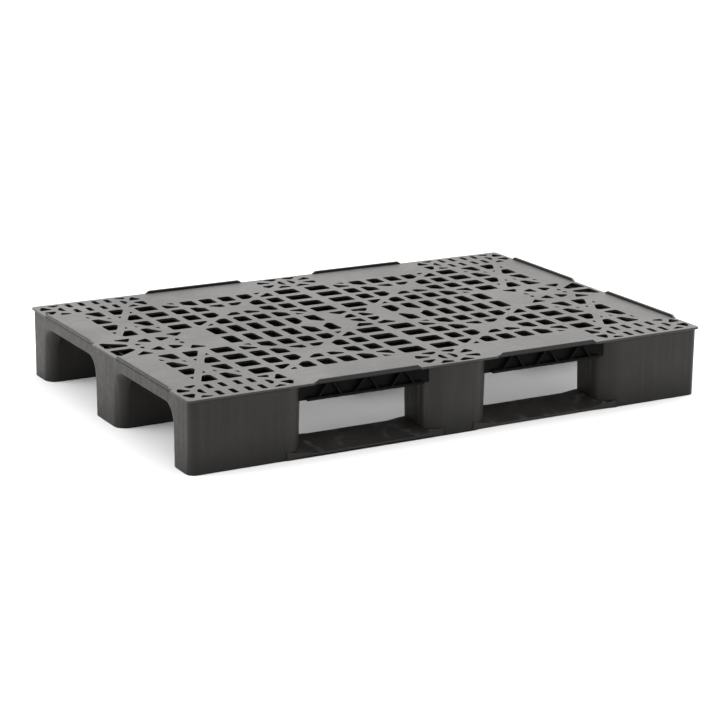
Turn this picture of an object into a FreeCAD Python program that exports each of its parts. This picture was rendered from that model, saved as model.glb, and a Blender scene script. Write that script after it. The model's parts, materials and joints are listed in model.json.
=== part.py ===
import FreeCAD, Part
import math
import os

V = FreeCAD.Vector

# ---------------------------------------------------------------- driving dimensions (mm)
# Frame: +X along the 1200 mm side, +Y along the 800 mm side, +Z up.
# The origin is on the floor under the middle of the deck.
LENGTH = 1200.0
WIDTH = 800.0
DECK_Z = 150.0            # top of the deck above the floor
PLATE_T = 5.0             # deck plate
PLATE_Z = DECK_Z - PLATE_T
SOFFIT_Z = 123.0          # underside of the deck ribs, and of the arches on the short sides
WALL_INSET = 1.5          # block walls stand this far inside the edge of the plate
WALL_X = LENGTH / 2 - WALL_INSET
WALL_Y = WIDTH / 2 - WALL_INSET
DRAFT = 3.0               # how much an inner block face leans in, over the block's height

# Plan of the nine blocks
END_X = 344.5             # corner and end blocks start here
MID_X = 81.0              # half length of the blocks at the middle of the long sides
CORNER_Y = 309.0          # inner face of the corner and side blocks
MID_Y = 68.0              # half width of the blocks in the middle row
R_OUTER = 18.0            # vertical corner of the pallet
R_ARCH = 26.0             # vertical corners beside the arches of the short sides
R_FORK = 47.0             # vertical corners beside the windows of the long sides
R_BACK = 6.0              # inner corners of the corner and side blocks
R_WINDOW = 20.0           # all other vertical corners
SHELL_T = 4.5             # block wall
WEB_T = 4.0               # cross web inside a block
CORNER_EASE = 0.5         # smallest corner radius inside a block

# Runners
RUNNER_T = 22.0           # at the middle of the board
RUNNER_EDGE_T = 5.0       # thin outer edge of the wheel ramp
RUNNER_EDGE_INSET = 2.5   # thin edge stands this far behind the block face
RAMP_W = 56.0             # width of the ramp up from the thin edge
FLARE_L = 66.0            # the thin edge thickens over this length before a block
FLARE_T = 18.0
CORE_T = 16.0             # tongue that runs on through the blocks
CORE_MARGIN = 12.0
CENTRE_STRIP_Y = 46.0     # half width of the centre runner between its blocks
RUNNER_Y = 316.0          # inner edge of the outer runners
RUNNER_EASE = 3.0
GUSSET_Y = 308.0          # and where it has widened to beside a block
GUSSET_L = 42.0           # over this length

# Short side arches
ARCH_DEPTH = R_ARCH
ARCH_CLEAR = 2.0          # the opening is cut this far past the back of the beam
ARCH_FILLET = 45.0        # top corners of the opening, inside
ARCH_FACE_FILLET = 39.0   # and at the outer face
ARCH_FOOT_Z = 78.0
ARCH_STEPS = 12           # flats round the shoulder, smoothed when drawn

# Long side truss skirts
SKIRT_Z = 113.0
SKIRT_RECESS = 12.0
SKIRT_T = 4.0
SKIRT_FLANGE_T = 5.5
SKIRT_FLANGE_RECESS = 3.0
TRUSS_PITCH = 82.0
TRUSS_HALF = 27.0         # half span of one inverted V at its foot
TRUSS_APEX = 3.0          # half width of its flat top
TRUSS_RIB_T = 3.2
TRUSS_RIB_RECESS = 2.0

# Retaining rims
RIM_T = 5.0
RIM_H = 6.5               # above the deck
RIM_FACE_H = 9.0          # tall outer face
RIM_ROUND = 1.6
RIM_END = 10.0            # sloped end
RIM_LONG = (92.0, 330.0)  # from, to, along the long sides
RIM_SHORT = (62.0, 316.0)

# Ribs under the deck
FRAME_X = WALL_X - ARCH_DEPTH
FRAME_Y = WALL_Y - SKIRT_RECESS - SKIRT_T
FRAME_SETBACK = 4.0       # a rib under the deck is narrower than its bar on each side
FRAME_RIM = 5.0
POCKET_RIB = 5.0

# Snap pins between runner and blocks
PIN_HEAD_D = 16.0
PIN_HEAD_H = 4.0
PIN_SHANK_D = 9.0
PIN_TOP_Z = 34.0
PIN_RECESS = 2.0
BOSS_D = 20.0
BOSS_TOP_Z = 60.0

# ---------------------------------------------------------------- deck pattern (one quadrant)
PITCH_X = 46.15
PITCH_Y = 57.2
GRID_X0 = 74.2            # first rib of the main square grid
GRID_Y0 = 73.8
ROW_RIB = 15.8
WIDE_ROW_RIB = 18.6       # beside the grid, in the two wide columns
BAND_Y = (9.6, 64.3)      # tall holes beside the long middle rib
PLATE_CORNER_R = 7.0
MAX_HOLE_R = 6.0
HOLE_R_RATIO = 0.4        # corner radius over the hole's mean inner radius
SMALLEST_HOLE = 30.0      # anything smaller is a sliver between two bars, and is filled (mm2)

MAIN_END_X = GRID_X0 + 6 * PITCH_X
TOP_Y = GRID_Y0 + 4 * PITCH_Y
HUB_X = 476.0
HUB_HALF = 61.0
ROSETTE_Y = 351.0
CORNER_AXIS_X = 476.4
DIAGONAL_W = 13.0
STEEP_DIAGONAL_W = 15.5

# centre and width of the ribs that run along Y
COLUMN_RIBS = [(0.0, 24.0), (73.2, 16.4)]
COLUMN_RIBS += [(120.6 + k * PITCH_X, 14.0) for k in range(5)]
COLUMN_RIBS += [(353.0, 16.4), (414.5, 17.4), (HUB_X, 18.2)]
GRID_EDGE_X = 529.0
BAND_COLUMN_RIB = 18.2    # the same ribs are wider in the band along the middle
MID_RIB_HALF = 6.5


# ---------------------------------------------------------------- small helpers
def box(x0, x1, y0, y1, z0, z1):
    return Part.makeBox(x1 - x0, y1 - y0, z1 - z0, V(x0, y0, z0))


def polygon(points, z=0.0):
    wire = Part.makePolygon([V(x, y, z) for x, y in points] + [V(points[0][0], points[0][1], z)])
    return Part.Face(wire)


def rectangle(x0, x1, y0, y1):
    return polygon([(x0, y0), (x1, y0), (x1, y1), (x0, y1)])


def disc(x, y, r):
    return Part.Face(Part.Wire(Part.makeCircle(r, V(x, y, 0))))


def bar(p, q, width):
    """A straight flat bar from p to q."""
    length = math.hypot(q[0] - p[0], q[1] - p[1])
    nx = -(q[1] - p[1]) / length * width / 2
    ny = (q[0] - p[0]) / length * width / 2
    return polygon([
        (p[0] + nx, p[1] + ny), (p[0] - nx, p[1] - ny),
        (q[0] - nx, q[1] - ny), (q[0] + nx, q[1] + ny),
    ])


def corner_arc(cx, cy, r, start, z):
    """A quarter circle, counted in degrees from +X."""
    circle = Part.Circle(V(cx, cy, z), V(0, 0, 1), r)
    return Part.Arc(circle, math.radians(start), math.radians(start + 90)).toShape()


def rounded_wire(x0, x1, y0, y1, radii, z):
    """A rectangle with its own radius at each corner: low-low, high-low, high-high, low-high."""
    a, b, c, d = radii
    return Part.Wire([
        Part.LineSegment(V(x0 + a, y0, z), V(x1 - b, y0, z)).toShape(),
        corner_arc(x1 - b, y0 + b, b, 270, z),
        Part.LineSegment(V(x1, y0 + b, z), V(x1, y1 - c, z)).toShape(),
        corner_arc(x1 - c, y1 - c, c, 0, z),
        Part.LineSegment(V(x1 - c, y1, z), V(x0 + d, y1, z)).toShape(),
        corner_arc(x0 + d, y1 - d, d, 90, z),
        Part.LineSegment(V(x0, y1 - d, z), V(x0, y0 + a, z)).toShape(),
        corner_arc(x0 + a, y0 + a, a, 180, z),
    ])


def mirrored(shape, x=False, y=False):
    if x:
        shape = shape.mirror(V(0, 0, 0), V(1, 0, 0))
    if y:
        shape = shape.mirror(V(0, 0, 0), V(0, 1, 0))
    return shape


def fused(shapes):
    result = shapes[0].multiFuse(shapes[1:]) if len(shapes) > 1 else shapes[0]
    return result.removeSplitter()


def cut(shape, tools):
    return shape.cut(Part.makeCompound(tools)).removeSplitter()


def save(name, shape):
    solids = shape.Solids
    out = solids[0] if len(solids) == 1 else Part.makeCompound(solids)
    out.exportStep("parts/%s.step" % name)
    print("%-28s solids %3d  faces %5d  volume %10.0f  valid %s"
          % (name, len(solids), len(out.Faces), out.Volume, out.isValid()))


# ---------------------------------------------------------------- deck holes
def rounded_hole(face):
    """Rounds the corners of a hole by as much as its size allows."""
    outline = face.OuterWire
    r = min(MAX_HOLE_R, HOLE_R_RATIO * 2 * face.Area / outline.Length)
    return face.makeOffset2D(-r).makeOffset2D(r, join=0).Faces[0]


def grid_holes():
    """The square grid, its two crossed pairs of diagonals, and the pads where these cross."""
    row_y = [GRID_Y0 + k * PITCH_Y for k in range(5)]
    hub_y = GRID_Y0 + 2 * PITCH_Y
    main_hub_x = GRID_X0 + 3 * PITCH_X
    bars = [rectangle(x - w / 2, x + w / 2, 0, TOP_Y + ROW_RIB) for x, w in COLUMN_RIBS]
    for x0, x1, w in ((0, GRID_X0, WIDE_ROW_RIB), (GRID_X0, MAIN_END_X, ROW_RIB),
                      (MAIN_END_X, HUB_X - HUB_HALF, WIDE_ROW_RIB), (HUB_X - HUB_HALF, GRID_EDGE_X, ROW_RIB)):
        bars += [rectangle(x0, x1, y - w / 2, y + w / 2) for y in row_y]
    for low, high in ((GRID_Y0, TOP_Y), (TOP_Y, GRID_Y0)):
        bars.append(bar((GRID_X0, low), (MAIN_END_X, high), DIAGONAL_W))
        bars.append(bar((HUB_X - HUB_HALF, low), (HUB_X + HUB_HALF, high), STEEP_DIAGONAL_W))
    bars.append(rectangle(main_hub_x - 50, main_hub_x + 50, hub_y - 26, hub_y + 26))
    bars.append(rectangle(HUB_X - 18.5, HUB_X + 18.5, hub_y - 20, hub_y + 20))
    region = rectangle(0, GRID_EDGE_X, GRID_Y0, TOP_Y)
    return [f for f in region.cut(Part.makeCompound(bars)).Faces if f.Area > SMALLEST_HOLE]


def band_holes():
    """The tall holes beside the long middle rib."""
    first, last = COLUMN_RIBS[1][0], COLUMN_RIBS[7][0]
    low, top = BAND_Y
    half = BAND_COLUMN_RIB / 2
    bars = [rectangle(x - half, x + half, 0, top) for x, w in COLUMN_RIBS[1:8]]
    pad_x, pad = GRID_X0 + PITCH_X, 37.0
    bars.append(polygon([(pad_x - pad, 0), (pad_x, -pad), (pad_x + pad, 0), (pad_x, pad)]))
    region = rectangle(first, last, low, top)
    return region.cut(Part.makeCompound(bars)).Faces


def wheel_holes():
    """A quarter of the wheel at the centre of the deck."""
    slot = MID_RIB_HALF + 0.5
    quarter = rectangle(slot, 60, MID_RIB_HALF, 60).common(disc(0, 0, 37.5))
    wedge = polygon([(slot, 40), (32, 41), (50, 63), (47, 67), (slot, 67)])
    return quarter.Faces + wedge.cut(disc(0, 0, 51)).Faces


def hub_holes():
    """The wheel over the block at the middle of a short side."""
    holes = []
    for side in (-1, 1):
        pie = polygon([(HUB_X + side * 8.5, 15.5), (HUB_X + side * 42, 36),
                       (HUB_X + side * 42, 55), (HUB_X + side * 8.5, 55)])
        holes += pie.common(disc(HUB_X, 0, 50.5)).Faces
        slot = [(38, 9.5), (42, 5), (49, 7), (48.5, 17), (44, 21)]
        holes.append(polygon([(HUB_X + side * x, y) for x, y in slot]))
        arrow = [(38, 64), (79, 64), (78, 60), (57, 40), (53, 40)]
        holes.append(polygon([(HUB_X + side * x, y) for x, y in arrow]))
    holes.append(polygon([(541, 13), (545, 8), (589, 8), (592, 12), (590, 52), (582, 52), (540, 24)]))
    return holes


def rosette_holes():
    """Half of the wheel at the middle of a long side."""
    core = rectangle(7.5, 30, ROSETTE_Y - 20, ROSETTE_Y + 20).common(disc(0, ROSETTE_Y, 20.5))
    holes = core.Faces
    for side, leaf_top in ((-1, 30.5), (1, 28.5)):
        petal = [(7.5, 42), (38, 42), (40, 37), (26, 24), (21, 24), (7.5, 33)]
        leaf = [(34, 7.5), (64.5, 7.5), (67, 15), (61, leaf_top), (56, leaf_top - 1), (34, 12)]
        holes += [polygon([(x, ROSETTE_Y + side * y) for x, y in shape]) for shape in (petal, leaf)]
    return holes


def corner_holes():
    """The pattern over a corner block: eight slots between two fans."""
    holes = []
    for x in (431.3, 460.4, 493.0, 522.4):
        for y in (326.0, 374.0):
            holes.append(rectangle(x - 6.2, x + 6.2, y - 15, y + 15))
    left_fan = [
        [(359.5, 343), (384.5, 342), (385, 334), (370, 309.5), (363, 309.5)],
        [(359.5, 356.5), (384.5, 356.5), (385, 363), (374, 383), (368.5, 383), (359.5, 366)],
        [(386, 389), (410.5, 390), (411, 384), (396, 375.5), (393, 375.5), (386, 384)],
        [(385.5, 311), (389, 305.5), (408, 305.5), (411, 311), (396, 322), (391, 322)],
    ]
    right_fan = [
        [(CORNER_AXIS_X * 2 - x, y) for x, y in outline] for outline in left_fan[1:]
    ]
    right_fan.append([(566.5, 342), (592.5, 342), (592.5, 332), (586, 318), (580.5, 318), (566.5, 335)])
    holes += [polygon(outline) for outline in left_fan + right_fan]
    bow = disc(408.5 + 6, 350, 18.5).common(rectangle(390, 408.5, 330, 370))
    holes += bow.Faces
    holes += bow.mirror(V(CORNER_AXIS_X, 0, 0), V(1, 0, 0)).Faces
    return holes


def quadrant_holes():
    holes = grid_holes() + band_holes() + wheel_holes() + hub_holes() + rosette_holes() + corner_holes()
    return [rounded_hole(h) for h in holes]


def all_quadrants(faces):
    return [mirrored(f, x, y) for x in (False, True) for y in (False, True) for f in faces]


def notches():
    """Where the retaining rims sit in the edge of the plate."""
    out = []
    for side in (-1, 1):
        for end in (-1, 1):
            x0, x1 = sorted(end * v for v in RIM_LONG)
            y0, y1 = sorted((side * (WIDTH / 2 - RIM_T), side * (WIDTH / 2 + 1)))
            out.append(box(x0, x1, y0, y1, PLATE_Z - 1, DECK_Z + 1))
            y0, y1 = sorted(end * v for v in RIM_SHORT)
            x0, x1 = sorted((side * (LENGTH / 2 - RIM_T), side * (LENGTH / 2 + 1)))
            out.append(box(x0, x1, y0, y1, PLATE_Z - 1, DECK_Z + 1))
    return out


def perforated(outline, holes, z, height):
    wires = [outline] + [h.OuterWire for h in holes]
    face = Part.makeFace(Part.makeCompound(wires), "Part::FaceMakerBullseye")
    face.translate(V(0, 0, z))
    return face.extrude(V(0, 0, height)).Solids[0]


def deck_plate(holes):
    outline = rounded_wire(-LENGTH / 2, LENGTH / 2, -WIDTH / 2, WIDTH / 2, [PLATE_CORNER_R] * 4, 0)
    return perforated(outline, all_quadrants(holes), PLATE_Z, PLATE_T).cut(Part.makeCompound(notches()))


def pocket_holes():
    """Blind pockets under the smooth parts of the deck, one quadrant."""
    cells = []
    columns = [COLUMN_RIBS[k][0] for k in range(1, 8)]
    for x0, x1 in zip(columns, columns[1:]):
        for y0, y1 in ((TOP_Y, TOP_Y + 40), (TOP_Y + 40, FRAME_Y - FRAME_RIM + POCKET_RIB / 2)):
            cells.append(rectangle(x0, x1, y0, y1))
    hub_y = GRID_Y0 + 2 * PITCH_Y
    for x0, x1 in ((162.5, 212.8), (212.8, 263)):
        cells.append(rectangle(x0, x1, hub_y - 22, hub_y))
        cells.append(rectangle(x0, x1, hub_y, hub_y + 22))
    cells.append(rectangle(353, 395, MID_RIB_HALF - POCKET_RIB / 2, 36))
    cells.append(rectangle(353, 395, 36, 68))
    cells.append(rectangle(52, 82, MID_RIB_HALF - POCKET_RIB / 2, 68))
    for y0 in range(72, 300, 57):
        cells.append(rectangle(532, FRAME_X - FRAME_RIM + POCKET_RIB / 2, y0, y0 + 57))
    return [c.makeOffset2D(-POCKET_RIB / 2) for c in cells]


def deck_ribs(holes):
    """The rib frame moulded under the plate: every hole, wider, and pockets under the smooth parts."""
    limit = rectangle(0, FRAME_X - FRAME_RIM, 0, FRAME_Y - FRAME_RIM)
    wide = [h.makeOffset2D(FRAME_SETBACK, join=2) for h in holes]
    wide = [f for w in wide for f in w.common(limit).Faces]
    pockets = []
    taken = Part.makeCompound([w.makeOffset2D(POCKET_RIB / 2, join=2) for w in wide])
    for cell in pocket_holes():
        pockets += [f for f in cell.cut(taken).Faces if f.Area > 150]
    outline = rounded_wire(-FRAME_X, FRAME_X, -FRAME_Y, FRAME_Y, [CORNER_EASE] * 4, 0)
    return perforated(outline, all_quadrants(wide + pockets), SOFFIT_Z, PLATE_Z - SOFFIT_Z)


# ---------------------------------------------------------------- blocks
BLOCKS = {
    # name: plan (x0, x1, y0, y1), corner radii, which sides are inner (lean in): -X, +X, -Y, +Y
    "corner": ((END_X, WALL_X, CORNER_Y, WALL_Y), (R_BACK, R_ARCH, R_OUTER, R_FORK), (1, 0, 1, 0)),
    "side": ((-MID_X, MID_X, CORNER_Y, WALL_Y), (R_BACK, R_BACK, R_FORK, R_FORK), (1, 1, 1, 0)),
    "end": ((END_X, WALL_X, -MID_Y, MID_Y), (R_WINDOW, R_ARCH, R_ARCH, R_WINDOW), (1, 0, 1, 1)),
    "centre": ((-MID_X, MID_X, -MID_Y, MID_Y), (R_WINDOW,) * 4, (1, 1, 1, 1)),
}


def block_envelope(kind, shrink=0.0, z0=0.0, z1=PLATE_Z):
    """The outside of a block, or with shrink its hollow."""
    (x0, x1, y0, y1), radii, inner = BLOCKS[kind]
    wires = []
    for z in (z0, z1):
        lean = DRAFT * (1 - z / PLATE_Z)
        wires.append(rounded_wire(
            x0 + shrink + lean * inner[0], x1 - shrink - lean * inner[1],
            y0 + shrink + lean * inner[2], y1 - shrink - lean * inner[3],
            [max(r - shrink, CORNER_EASE) for r in radii], z))
    return Part.makeLoft(wires, True, True)


def pin_places(kind):
    """Two pins near the ends of each block, on the line of the runner's tongue."""
    (x0, x1, y0, y1), radii, inner = BLOCKS[kind]
    middle = (y0 + y1) / 2 if kind in ("end", "centre") else (CORNER_Y + WALL_Y) / 2
    inset = 34.0
    return [(x0 + inset, middle), (x1 - inset, middle)]


def block(kind):
    (x0, x1, y0, y1), radii, inner = BLOCKS[kind]
    outside = block_envelope(kind)
    hollow = block_envelope(kind, SHELL_T)
    web_x, web_y = (x0 + x1) / 2, pin_places(kind)[0][1]
    webs = [box(web_x - WEB_T / 2, web_x + WEB_T / 2, y0, y1, RUNNER_T, SOFFIT_Z),
            box(x0, x1, web_y - WEB_T / 2, web_y + WEB_T / 2, RUNNER_T, SOFFIT_Z)]
    bosses = [Part.makeCylinder(BOSS_D / 2, BOSS_TOP_Z - RUNNER_T, V(x, y, RUNNER_T))
              for x, y in pin_places(kind)]
    inside = [w.common(hollow) for w in webs] + bosses
    shell = fused([outside.cut(hollow)] + inside)
    shell = shell.cut(box(-FRAME_X, FRAME_X, -FRAME_Y, FRAME_Y, SOFFIT_Z, DECK_Z))
    pins = [Part.makeCylinder(PIN_SHANK_D / 2, PIN_TOP_Z, V(x, y, 0)) for x, y in pin_places(kind)]
    return cut(shell, [runner_core(kind)] + pins)


def block_nodes():
    """Every block by name, with its kind and its mirroring."""
    nodes = {"block_centre": ("centre", False, False)}
    for y, word in ((False, "back"), (True, "front")):
        nodes["block_%s_middle" % word] = ("side", False, y)
        for x, side in ((False, "right"), (True, "left")):
            nodes["block_%s_%s" % (word, side)] = ("corner", x, y)
    nodes["block_right_middle"] = ("end", False, False)
    nodes["block_left_middle"] = ("end", True, False)
    return nodes


# ---------------------------------------------------------------- runners
def runner_core(kind):
    """The tongue of a runner where it passes through the walls of a block."""
    (x0, x1, y0, y1), radii, inner = BLOCKS[kind]
    reach = 5.0
    if kind in ("end", "centre"):
        a, b = -CENTRE_STRIP_Y + CORE_MARGIN, CENTRE_STRIP_Y - CORE_MARGIN
    else:
        a, b = CORNER_Y + CORE_MARGIN, WALL_Y - R_FORK
    high = x1 + reach if kind in ("side", "centre") else (x0 + x1) / 2
    return box(x0 - reach, high, a, b, 0, CORE_T)


def section(x, points):
    return Part.makePolygon([V(x, y, z) for y, z in points + points[:1]])


def strip(x0, x1, profile):
    """A runner between two blocks: thin ramp edges that thicken at both ends."""
    stations = [(x0, True), (x0 + FLARE_L, False), (x1 - FLARE_L, False), (x1, True)]
    return Part.makeLoft([section(x, profile(flared)) for x, flared in stations], True, True)


def outer_profile(flared):
    edge_y = WALL_Y if flared else WALL_Y - RUNNER_EDGE_INSET
    edge_z = FLARE_T if flared else RUNNER_EDGE_T
    return [(RUNNER_Y, 0), (RUNNER_Y, RUNNER_T - RUNNER_EASE), (RUNNER_Y + RUNNER_EASE, RUNNER_T),
            (WALL_Y - RAMP_W, RUNNER_T), (edge_y, edge_z), (edge_y, 0)]


def centre_profile(flared):
    edge = CENTRE_STRIP_Y + (6.0 if flared else 0.0)
    edge_z = FLARE_T if flared else RUNNER_EDGE_T
    flat = 12.0
    return [(-edge, 0), (-edge, edge_z), (-flat, RUNNER_T), (flat, RUNNER_T), (edge, edge_z), (edge, 0)]


def runner(kinds, profile):
    """A runner: two exposed strips, and a foot and tongue inside each of its three blocks."""
    end_kind, mid_kind = kinds
    strips = [strip(MID_X - R_FORK, END_X + R_FORK, profile)]
    if mid_kind == "side":
        y0, y1 = GUSSET_Y, RUNNER_Y + RUNNER_EASE
        gussets = [
            [(MID_X - R_WINDOW, y0), (MID_X, y0), (MID_X + GUSSET_L, y1), (MID_X - R_WINDOW, y1)],
            [(END_X, y0), (END_X + R_WINDOW, y0), (END_X + R_WINDOW, y1), (END_X - GUSSET_L, y1)],
        ]
        strips += [polygon(outline).extrude(V(0, 0, RUNNER_T)) for outline in gussets]
    exposed = [s.cut(Part.makeCompound([block_envelope(end_kind), block_envelope(mid_kind)]))
               for s in strips]
    foot_end = block_envelope(end_kind, SHELL_T, 0.0, RUNNER_T)
    pieces = exposed + [foot_end, runner_core(end_kind)]
    half = pieces + [mirrored(p, x=True) for p in pieces]
    half += [block_envelope(mid_kind, SHELL_T, 0.0, RUNNER_T), runner_core(mid_kind)]
    body = fused(half)
    holes = []
    for kind in kinds:
        for x, y in pin_places(kind):
            for side in ((1, -1) if kind == end_kind else (1,)):
                holes.append(Part.makeCylinder(PIN_SHANK_D / 2, RUNNER_T, V(side * x, y, 0)))
                holes.append(Part.makeCylinder(PIN_HEAD_D / 2, PIN_RECESS + PIN_HEAD_H, V(side * x, y, 0)))
    return cut(body, holes)


def snap_pins():
    pins = []
    for kind, x, y in block_nodes().values():
        for px, py in pin_places(kind):
            head = Part.makeCylinder(PIN_HEAD_D / 2, PIN_HEAD_H, V(px, py, PIN_RECESS))
            shank = Part.makeCylinder(PIN_SHANK_D / 2, PIN_TOP_Z - PIN_RECESS, V(px, py, PIN_RECESS))
            pins.append(mirrored(head.fuse(shank).removeSplitter(), x, y))
    return Part.makeCompound(pins)


# ---------------------------------------------------------------- arches and skirts
def tunnel_section(x, side, fillet):
    """The opening of an arch at one station: side is how far each jamb is set back."""
    y0, y1, z0, z1 = MID_Y - side, CORNER_Y + side, 0.0, SOFFIT_Z
    half = math.sqrt(0.5)
    left = Part.Arc(V(x, y0, z1 - fillet), V(x, y0 + fillet * (1 - half), z1 - fillet * (1 - half)),
                    V(x, y0 + fillet, z1)).toShape()
    right = Part.Arc(V(x, y1 - fillet, z1), V(x, y1 - fillet * (1 - half), z1 - fillet * (1 - half)),
                     V(x, y1, z1 - fillet)).toShape()
    return Part.Wire([
        Part.LineSegment(V(x, y0, z0), V(x, y0, z1 - fillet)).toShape(), left,
        Part.LineSegment(V(x, y0 + fillet, z1), V(x, y1 - fillet, z1)).toShape(), right,
        Part.LineSegment(V(x, y1, z1 - fillet), V(x, y1, z0)).toShape(),
        Part.LineSegment(V(x, y1, z0), V(x, y0, z0)).toShape(),
    ])


def arch_beam():
    """The beam over one arch, with the rounded shoulders that join it to its two blocks."""
    sections = []
    for k in range(ARCH_STEPS + 1):
        angle = math.radians(90 * k / ARCH_STEPS)
        depth = R_ARCH * (1 - math.cos(angle))
        side = R_ARCH * (1 - math.sin(angle))
        blend = depth / R_ARCH
        fillet = ARCH_FACE_FILLET + (ARCH_FILLET - ARCH_FACE_FILLET) * blend
        sections.append(tunnel_section(WALL_X - depth, side, fillet))
    sections.append(tunnel_section(WALL_X - ARCH_DEPTH - ARCH_CLEAR, 0.0, ARCH_FILLET))
    tunnel = Part.makeLoft(sections, True, True)
    bar_solid = box(WALL_X - ARCH_DEPTH, WALL_X, MID_Y - R_ARCH, CORNER_Y + R_ARCH, ARCH_FOOT_Z, PLATE_Z)
    beam = bar_solid.cut(tunnel).cut(Part.makeCompound([block_envelope("corner"), block_envelope("end")]))
    return max(beam.Solids, key=lambda s: s.Volume)


def truss_skirt():
    """The recessed skirt over a fork window: a panel, a lower flange and three inverted V ribs."""
    y_panel = WALL_Y - SKIRT_RECESS
    x0, x1 = MID_X - R_FORK, END_X + R_FORK
    panel = box(x0, x1, y_panel - SKIRT_T, y_panel, SKIRT_Z, PLATE_Z)
    flange = box(MID_X, END_X, y_panel, WALL_Y - SKIRT_FLANGE_RECESS, SKIRT_Z, SKIRT_Z + SKIRT_FLANGE_T)
    y_rib = WALL_Y - TRUSS_RIB_RECESS
    centre = (MID_X + END_X) / 2
    foot = SKIRT_Z + SKIRT_FLANGE_T / 2
    ribs = []
    for k in (-1, 0, 1):
        apex = centre + k * TRUSS_PITCH
        for lean in (-1, 1):
            leg = bar((apex + lean * TRUSS_HALF, foot), (apex + lean * TRUSS_APEX, PLATE_Z + 4), TRUSS_RIB_T)
            leg.rotate(V(0, 0, 0), V(1, 0, 0), 90)
            leg.translate(V(0, y_rib, 0))
            ribs.append(leg.extrude(V(0, y_panel - y_rib - 1, 0)))
    body = fused([panel, flange] + ribs)
    above = box(x0, x1, y_panel - SKIRT_T - 1, WIDTH / 2, PLATE_Z, DECK_Z)
    return cut(body, [above, block_envelope("corner"), block_envelope("side")])


# ---------------------------------------------------------------- retaining rims
def rim(x0, x1):
    """A rim along +X at the back edge, before it is turned to its side."""
    outer = WIDTH / 2
    inner = outer - RIM_T
    top = DECK_Z + RIM_H
    foot = top - RIM_FACE_H
    r = RIM_ROUND
    c = r * (1 - math.sqrt(0.5))
    edges = [
        Part.LineSegment(V(x0, inner, PLATE_Z), V(x0, outer - 2.5, PLATE_Z)).toShape(),
        Part.LineSegment(V(x0, outer - 2.5, PLATE_Z), V(x0, outer, foot)).toShape(),
        Part.LineSegment(V(x0, outer, foot), V(x0, outer, top - r)).toShape(),
        Part.Arc(V(x0, outer, top - r), V(x0, outer - c, top - c), V(x0, outer - r, top)).toShape(),
        Part.LineSegment(V(x0, outer - r, top), V(x0, inner + r, top)).toShape(),
        Part.Arc(V(x0, inner + r, top), V(x0, inner + c, top - c), V(x0, inner, top - r)).toShape(),
        Part.LineSegment(V(x0, inner, top - r), V(x0, inner, PLATE_Z)).toShape(),
    ]
    bead = Part.Face(Part.Wire(edges)).extrude(V(x1 - x0, 0, 0))
    slopes = []
    for x, sign in ((x0, 1), (x1, -1)):
        wedge = Part.makePolygon([V(x - sign, inner - 1, DECK_Z + 0.4), V(x - sign, inner - 1, top + 1),
                                  V(x + sign * RIM_END, inner - 1, top + 1), V(x - sign, inner - 1, DECK_Z + 0.4)])
        slopes.append(Part.Face(wedge).extrude(V(0, RIM_T + 2, 0)))
    return cut(bead, slopes)


def rim_nodes():
    nodes = {}
    long_rim = rim(*RIM_LONG)
    short_rim = rim(*RIM_SHORT)
    short_rim.rotate(V(0, 0, 0), V(0, 0, 1), -90)
    short_rim.translate(V((LENGTH - WIDTH) / 2, 0, 0))
    for x, side in ((False, "right"), (True, "left")):
        nodes["rim_back_%s" % side] = mirrored(long_rim, x)
        nodes["rim_front_%s" % side] = mirrored(long_rim, x, True)
        nodes["rim_%s_front" % side] = mirrored(short_rim, x)
        nodes["rim_%s_back" % side] = mirrored(short_rim, x, True)
    return nodes


# ---------------------------------------------------------------- assembly
def main():
    os.makedirs("parts", exist_ok=True)
    holes = quadrant_holes()
    save("deck_plate", deck_plate(holes))
    save("deck_ribs", deck_ribs(holes))
    shapes = {kind: block(kind) for kind in BLOCKS}
    for name, (kind, x, y) in block_nodes().items():
        save(name, mirrored(shapes[kind], x, y))
    outer_runner = runner(("corner", "side"), outer_profile)
    save("runner_back", outer_runner)
    save("runner_front", mirrored(outer_runner, y=True))
    save("runner_centre", runner(("end", "centre"), centre_profile))
    save("snap_pins", snap_pins())
    beam = arch_beam()
    skirt = truss_skirt()
    for y, word in ((False, "back"), (True, "front")):
        for x, side in ((False, "right"), (True, "left")):
            save("arch_%s_%s" % (side, word), mirrored(beam, x, y))
            save("skirt_%s_%s" % (word, side), mirrored(skirt, x, y))
    for name, shape in rim_nodes().items():
        save(name, shape)


main()
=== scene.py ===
import json
import math

import bpy
from mathutils import Matrix, Vector


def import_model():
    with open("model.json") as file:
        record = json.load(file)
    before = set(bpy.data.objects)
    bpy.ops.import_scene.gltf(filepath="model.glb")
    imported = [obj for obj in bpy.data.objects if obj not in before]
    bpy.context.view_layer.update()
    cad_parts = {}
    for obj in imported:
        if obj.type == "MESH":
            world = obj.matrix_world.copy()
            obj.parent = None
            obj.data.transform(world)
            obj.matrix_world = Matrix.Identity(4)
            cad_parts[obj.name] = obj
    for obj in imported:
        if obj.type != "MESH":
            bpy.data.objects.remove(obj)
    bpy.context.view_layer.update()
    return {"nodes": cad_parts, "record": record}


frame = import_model()
NODES = frame["nodes"]

MERGE_DISTANCE = 2e-6            # corners nearer than this are one corner, in metres
FLAT_ANGLE = math.radians(0.3)   # faces this near to flat are joined before edges are rounded
BEVEL_ANGLE = math.radians(28)   # edges that bend more than this are rounded

# Edge radius in metres, and how many steps round it. The arches have none, because they run
# into the blocks.
EDGE = {
    "deck": (0.0007, 2),
    "underside_ribs": (0.0006, 1),
    "block": (0.0012, 2),
    "skirt": (0.0006, 1),
    "rim": (0.0006, 2),
    "runner": (0.0015, 2),
    "pin": (0.0005, 1),
}


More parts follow.
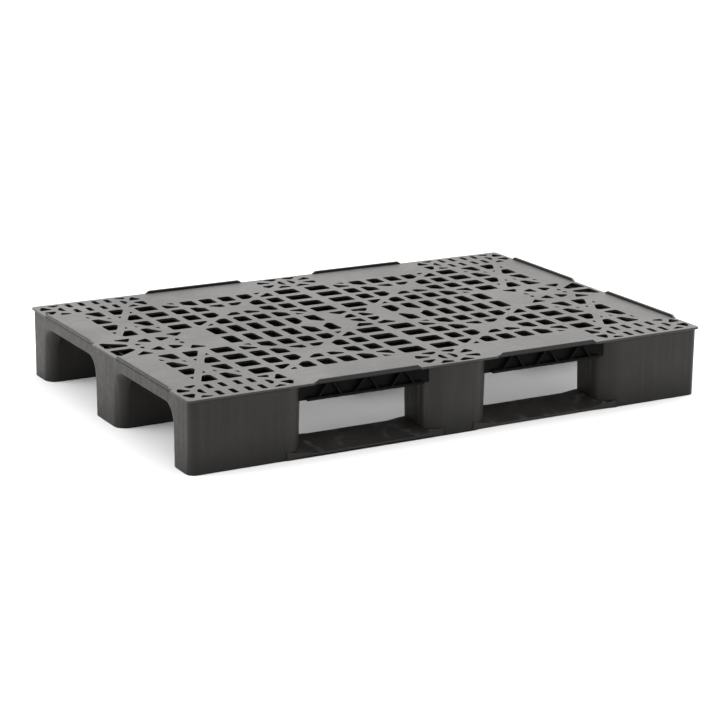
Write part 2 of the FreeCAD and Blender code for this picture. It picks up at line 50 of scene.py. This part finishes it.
# ---------------------------------------------------------------- materials
class Graph:
    """A short way to write a shader: every call adds a node and returns its first output."""

    def __init__(self, tree):
        self.tree = tree
        tree.nodes.clear()

    def add(self, kind, props=None, **inputs):
        node = self.tree.nodes.new(kind)
        for key, value in (props or {}).items():
            setattr(node, key, value)
        for key, value in inputs.items():
            self.put(node, key.replace("_", " "), value)
        return node

    def put(self, node, name, value):
        sock = node.inputs[int(name[1:])] if name[0] == "#" else node.inputs[name]
        if isinstance(value, bpy.types.NodeSocket):
            self.tree.links.new(value, sock)
        elif sock.type == "RGBA" and len(value) == 3:
            sock.default_value = (*value, 1.0)
        else:
            sock.default_value = value

    def math(self, op, a, b=0.0):
        node = self.add("ShaderNodeMath", {"operation": op})
        self.put(node, "#0", a)
        self.put(node, "#1", b)
        return node.outputs[0]

    def ramp(self, value, low, high, to_low=0.0, to_high=1.0):
        node = self.add("ShaderNodeMapRange", {"interpolation_type": "SMOOTHSTEP"})
        for name, v in (("Value", value), ("From Min", low), ("From Max", high),
                        ("To Min", to_low), ("To Max", to_high)):
            self.put(node, name, v)
        return node.outputs[0]

    def mix(self, factor, a, b):
        node = self.add("ShaderNodeMix", {"data_type": "RGBA"})
        self.put(node, "#0", factor)
        self.put(node, "#6", a)
        self.put(node, "#7", b)
        return node.outputs[2]

    def place(self, scale=(1, 1, 1), spin=(0, 0, 0)):
        coords = self.add("ShaderNodeTexCoord").outputs["Object"]
        node = self.add("ShaderNodeMapping")
        self.put(node, "Vector", coords)
        self.put(node, "Scale", scale)
        self.put(node, "Rotation", spin)
        return node.outputs[0]

    def noise(self, scale, detail=3.0, rough=0.55, stretch=(1, 1, 1), spin=(0, 0, 0), warp=0.0):
        node = self.add("ShaderNodeTexNoise")
        self.put(node, "Vector", self.place(stretch, spin))
        for name, v in (("Scale", scale), ("Detail", detail), ("Roughness", rough),
                        ("Distortion", warp)):
            self.put(node, name, v)
        return node.outputs[0]


BLACK = (0.0148, 0.0133, 0.0118)
DUST = (0.26, 0.258, 0.25)
SCRATCHED = (0.36, 0.355, 0.345)
RUBBED = (0.42, 0.415, 0.40)      # the pale upper edges
DARK_PATCH, PALE_PATCH = 0.82, 1.22   # the mottling, in shares of the base colour
PALE_FLECK = 1.5                  # in shares of the base colour
DRAW_MARK = 4.1                   # in shares of the base colour
LONG_WALL_STREAK = 0.15           # draw marks are fainter on the long sides than on the ends
PAINTED_SHADE_TOP = 0.08                   # painted shade: the walls are darkened below this height, as shade near the floor, in metres
GRAIN_HEIGHT = 0.0006


def scaled(color, share):
    return tuple(c * share for c in color)


def scratches(g, scale, thin, spin, share):
    """Thin marks: the narrow crossings of a stretched noise, kept only in patches."""
    field = g.noise(scale, 1.0, 0.4, (1, 14, 1), (0, 0, spin))
    line = g.math("ABSOLUTE", g.math("SUBTRACT", field, 0.5))
    line = g.ramp(line, 0.0, thin, 1.0, 0.0)
    patch = g.ramp(g.noise(scale * 0.8, 1.0, 0.5), 1.0 - share, 1.05 - share)
    return g.math("MULTIPLY", line, patch)


def plastic(name, base, rough, grain, streak=0.0, wear=0.0, scratch=0.0, dust=0.0, spec=0.4,
            painted_foot_shade=1.0, painted_wall_shade=None):
    """Moulded polyethylene: mottled, with fine grain, draw marks down the walls and rubbed edges.

    streak, wear, scratch and dust say how much of each there is, from 0 to 1. painted_foot_shade is
    the share of the colour that is left at floor level: painted shade, darker towards the floor.
    painted_wall_shade is a darker colour painted on the upright faces as shade, where it isn't the
    colour of the top.
    """
    mat = bpy.data.materials.new(name)
    mat.use_nodes = True
    g = Graph(mat.node_tree)
    out = g.add("ShaderNodeOutputMaterial")
    shader = g.add("ShaderNodeBsdfPrincipled")
    g.tree.links.new(shader.outputs[0], out.inputs[0])
    normal = g.add("ShaderNodeSeparateXYZ", Vector=g.add("ShaderNodeNewGeometry").outputs["Normal"])
    up = normal.outputs["Z"]

    cloud = g.noise(5.0, 4.0, 0.6, warp=0.6)
    mottle = g.noise(60.0, 3.0, 0.6)
    color = g.mix(g.ramp(cloud, 0.3, 0.7), scaled(base, DARK_PATCH), scaled(base, PALE_PATCH))
    color = g.mix(g.ramp(mottle, 0.35, 0.75, 0.0, 0.25), color, scaled(base, PALE_FLECK))
    roughness = g.ramp(mottle, 0.3, 0.7, rough - 0.05, rough + 0.05)

    if streak:
        draw = g.noise(1.0, 3.0, 0.6, (95, 95, 2.5))
        upright = g.ramp(g.math("ABSOLUTE", up), 0.2, 0.6, 1.0, 0.0)
        endwall = g.ramp(g.math("ABSOLUTE", normal.outputs["X"]), 0.5, 0.9, LONG_WALL_STREAK, 1.0)
        mark = g.math("MULTIPLY", g.ramp(draw, 0.42, 0.72), g.math("MULTIPLY", upright, endwall))
        color = g.mix(g.math("MULTIPLY", mark, streak), color, scaled(base, DRAW_MARK))
        roughness = g.math("ADD", roughness, g.math("MULTIPLY", mark, 0.06))
    if dust:
        film = g.ramp(g.noise(26.0, 4.0, 0.6, warp=0.8), 0.52, 0.72)
        film = g.math("MULTIPLY", film, g.ramp(up, 0.7, 0.95))
        color = g.mix(g.math("MULTIPLY", film, dust), color, DUST)
        roughness = g.math("ADD", roughness, g.math("MULTIPLY", film, 0.08))
    if scratch:
        marks = scratches(g, 22.0, 0.006, 0.5, 0.45)
        marks = g.math("MAXIMUM", marks, scratches(g, 30.0, 0.005, -0.7, 0.42))
        marks = g.math("MAXIMUM", marks, scratches(g, 17.0, 0.005, 1.5, 0.42))
        color = g.mix(g.math("MULTIPLY", marks, scratch), color, SCRATCHED)
    if wear:
        edge = g.math("MULTIPLY", g.ramp(up, 0.12, 0.35), g.ramp(up, 0.9, 0.99, 1.0, 0.0))
        edge = g.math("MULTIPLY", edge, g.ramp(g.noise(35.0, 4.0, 0.7), 0.3, 0.65, 0.35, 1.0))
        color = g.mix(g.math("MULTIPLY", edge, wear), color, RUBBED)
    # Painted shade: the colour darkens towards the floor, standing in for the shade there.
    if painted_foot_shade < 1.0:
        above_floor = g.add("ShaderNodeSeparateXYZ", Vector=g.place()).outputs["Z"]
        color = g.mix(g.ramp(above_floor, 0.0, PAINTED_SHADE_TOP, painted_foot_shade, 1.0), (0.0, 0.0, 0.0), color)
    # Painted shade: the upright faces get a darker colour than the top, standing in for the shade
    # on them.
    if painted_wall_shade:
        color = g.mix(g.ramp(up, 0.2, 0.7), painted_wall_shade, color)
    g.put(shader, "Base Color", color)
    g.put(shader, "Roughness", roughness)
    g.put(shader, "Specular IOR Level", spec)

    fine = g.noise(950.0, 2.0, 0.5)
    coarse = g.noise(140.0, 2.0, 0.5)
    height = g.math("ADD", g.math("MULTIPLY", fine, 0.35), coarse)
    bump = g.add("ShaderNodeBump", Strength=grain, Distance=GRAIN_HEIGHT, Height=height)
    g.put(shader, "Normal", bump.outputs[0])
    return mat


MATERIALS = {
    # Painted shade: the deck's upright faces, such as the hole walls, get a near-black colour.
    "deck": plastic("deck_plastic", (0.089, 0.085, 0.082), 0.42, 0.2, wear=0.5, scratch=0.3,
                    dust=0.12, spec=0.5, painted_wall_shade=(0.007, 0.007, 0.007)),
    # Painted shade: the underside ribs get a near-black colour, standing in for the shade inside
    # the deck's holes.
    "underside_ribs": plastic("rib_painted_shade_plastic", (0.005, 0.005, 0.005), 0.5, 0.2, spec=0.08),
    # Painted shade: the blocks and arches darken towards the floor.
    "block": plastic("block_plastic", BLACK, 0.46, 0.3, streak=0.7, painted_foot_shade=0.4, spec=0.235),
    "arch": plastic("arch_plastic", BLACK, 0.46, 0.3, streak=0.7, painted_foot_shade=0.4, spec=0.235),
    # Painted shade: the skirt's colour is far darker than the blocks', standing in for the shade in
    # its recess.
    "skirt": plastic("skirt_painted_shade_plastic", (0.0030, 0.0029, 0.0027), 0.55, 0.25, spec=0.055),
    # Painted shade: the rim's upright faces get a near-black colour.
    "rim": plastic("rim_plastic", (0.088, 0.087, 0.085), 0.42, 0.2, wear=0.2, spec=0.3,
                   painted_wall_shade=(0.005, 0.0048, 0.0045)),
    "runner": plastic("runner_plastic", BLACK, 0.5, 0.3, scratch=0.15, dust=0.2, spec=0.24),
    "pin": plastic("pin_plastic", (0.016, 0.016, 0.016), 0.45, 0.2),
}


# ---------------------------------------------------------------- the pallet's nodes
def clean_group():
    """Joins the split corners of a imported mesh, so that its edges can be rounded.

    Edges that bend more than BEVEL_ANGLE stay sharp.
    """
    group = bpy.data.node_groups.new("join_corners", "GeometryNodeTree")
    group.interface.new_socket("Geometry", in_out="INPUT", socket_type="NodeSocketGeometry")
    group.interface.new_socket("Geometry", in_out="OUTPUT", socket_type="NodeSocketGeometry")
    start = group.nodes.new("NodeGroupInput")
    merge = group.nodes.new("GeometryNodeMergeByDistance")
    merge.inputs["Distance"].default_value = MERGE_DISTANCE
    drop = group.nodes.new("GeometryNodeRemoveAttribute")
    drop.inputs["Name"].default_value = "custom_normal"
    smooth = group.nodes.new("GeometryNodeSetShadeSmooth")
    smooth.inputs["Shade Smooth"].default_value = True
    bend = group.nodes.new("GeometryNodeInputMeshEdgeAngle")
    corner = group.nodes.new("FunctionNodeCompare")
    corner.inputs["B"].default_value = BEVEL_ANGLE
    group.links.new(bend.outputs["Unsigned Angle"], corner.inputs["A"])
    sharp = group.nodes.new("GeometryNodeSetShadeSmooth")
    sharp.domain = "EDGE"
    sharp.inputs["Shade Smooth"].default_value = False
    group.links.new(corner.outputs["Result"], sharp.inputs["Selection"])
    end = group.nodes.new("NodeGroupOutput")
    for a, b in ((start, merge), (merge, drop), (drop, smooth), (smooth, sharp), (sharp, end)):
        group.links.new(a.outputs[0], b.inputs[0])
    return group


def dress_nodes():
    slots = {s["node"]: s["material_slot"] for s in frame["record"]["subparts"]}
    join = clean_group()
    for name, obj in NODES.items():
        kind = slots[name]
        for slot in obj.material_slots:
            slot.material = MATERIALS[kind]
        mod = obj.modifiers.new("join", "NODES")
        mod.node_group = join
        if kind not in EDGE:
            continue
        size, steps = EDGE[kind]
        flat = obj.modifiers.new("flat", "DECIMATE")
        flat.decimate_type = "DISSOLVE"
        flat.angle_limit = FLAT_ANGLE
        bevel = obj.modifiers.new("edges", "BEVEL")
        bevel.width = size
        bevel.segments = steps
        bevel.limit_method = "ANGLE"
        bevel.angle_limit = BEVEL_ANGLE
        bevel.use_clamp_overlap = False
        bevel.harden_normals = True


# ---------------------------------------------------------------- stage, light, camera
FLOOR_HALF = 40.0
PAPER = ((0.86, 0.86, 0.86), (0.88, 0.88, 0.88))


def floor():
    r = FLOOR_HALF
    mesh = bpy.data.meshes.new("floor")
    mesh.from_pydata([(-r, -r, 0), (r, -r, 0), (r, r, 0), (-r, r, 0)], [], [(0, 1, 2, 3)])
    obj = bpy.data.objects.new("floor", mesh)
    bpy.context.scene.collection.objects.link(obj)
    mat = bpy.data.materials.new("floor_paper")
    mat.use_nodes = True
    g = Graph(mat.node_tree)
    out = g.add("ShaderNodeOutputMaterial")
    shader = g.add("ShaderNodeBsdfPrincipled", Roughness=0.9)
    g.put(shader, "Specular IOR Level", 0.1)
    tone = g.ramp(g.noise(1.3, 3.0, 0.5), 0.3, 0.7)
    g.put(shader, "Base Color", g.mix(tone, *PAPER))
    g.tree.links.new(shader.outputs[0], out.inputs[0])
    mesh.materials.append(mat)


# Soft boxes on the studio's dome. Each has the direction to it, its brightness, and how near to
# that direction it begins and is full, as the dot product of the two directions.
DOME = [
    ((0.47, 0.83, 0.30), 0.7, 0.60, 0.95),
    ((-0.95, 0.25, 0.20), 2.5, 0.55, 0.95),
    ((0.99, -0.05, 0.10), 2.6, 0.60, 0.95),
]
DOME_FILL = 0.38          # the light between the boxes
DOME_SEEN = 1.0           # the plain backdrop that the camera sees past the floor
OVERHEAD_POWER = 2.75
OVERHEAD_ANGLE = math.radians(92)


def world():
    """Light from a dome of large, far soft boxes, so the floor is lit evenly to the horizon."""
    w = bpy.data.worlds.new("studio")
    bpy.context.scene.world = w
    w.use_nodes = True
    g = Graph(w.node_tree)
    direction = g.add("ShaderNodeTexCoord").outputs["Generated"]
    total = None
    for towards, power, begins, full in DOME:
        near = g.add("ShaderNodeVectorMath", {"operation": "DOT_PRODUCT"})
        g.put(near, "#0", direction)
        g.put(near, "#1", Vector(towards).normalized())
        box = g.ramp(near.outputs["Value"], begins, full, 0.0, power)
        total = g.math("ADD", box, DOME_FILL if total is None else total)
    seen = g.add("ShaderNodeLightPath").outputs["Is Camera Ray"]
    light = g.add("ShaderNodeBackground", Color=(1.0, 1.0, 1.0), Strength=total)
    backdrop = g.add("ShaderNodeBackground", Color=(1.0, 1.0, 1.0), Strength=DOME_SEEN)
    pick = g.add("ShaderNodeMixShader")
    for name, value in (("#0", seen), ("#1", light.outputs[0]), ("#2", backdrop.outputs[0])):
        g.put(pick, name, value)
    out = g.add("ShaderNodeOutputWorld")
    g.tree.links.new(pick.outputs[0], out.inputs[0])


def overhead():
    """The main light: one very wide soft source straight above."""
    data = bpy.data.lights.new("overhead", "SUN")
    data.energy = OVERHEAD_POWER
    data.angle = OVERHEAD_ANGLE
    obj = bpy.data.objects.new("overhead", data)
    bpy.context.scene.collection.objects.link(obj)


LENS, SENSOR = 108.12, 36.0      # millimetres
CAMERA_AT = (-2.25493, -3.94287, 1.32658)
AZIMUTH = math.radians(29.808)   # from +Y towards +X
TILT = math.radians(15.737)      # down from level
ROLL = math.radians(0.713)


def camera():
    data = bpy.data.cameras.new("camera")
    data.sensor_width = SENSOR
    data.lens = LENS
    data.clip_end = 200.0
    obj = bpy.data.objects.new("camera", data)
    bpy.context.scene.collection.objects.link(obj)
    ahead = Vector((math.sin(AZIMUTH) * math.cos(TILT), math.cos(AZIMUTH) * math.cos(TILT),
                    -math.sin(TILT)))
    level = ahead.cross(Vector((0, 0, 1))).normalized()
    right = level * math.cos(ROLL) + level.cross(ahead) * math.sin(ROLL)
    up = right.cross(ahead)
    turn = Matrix((right, up, -ahead)).transposed().to_4x4()
    obj.matrix_world = Matrix.Translation(CAMERA_AT) @ turn
    bpy.context.scene.camera = obj


dress_nodes()
floor()
world()
overhead()
camera()
bpy.context.scene.view_settings.view_transform = "Standard"
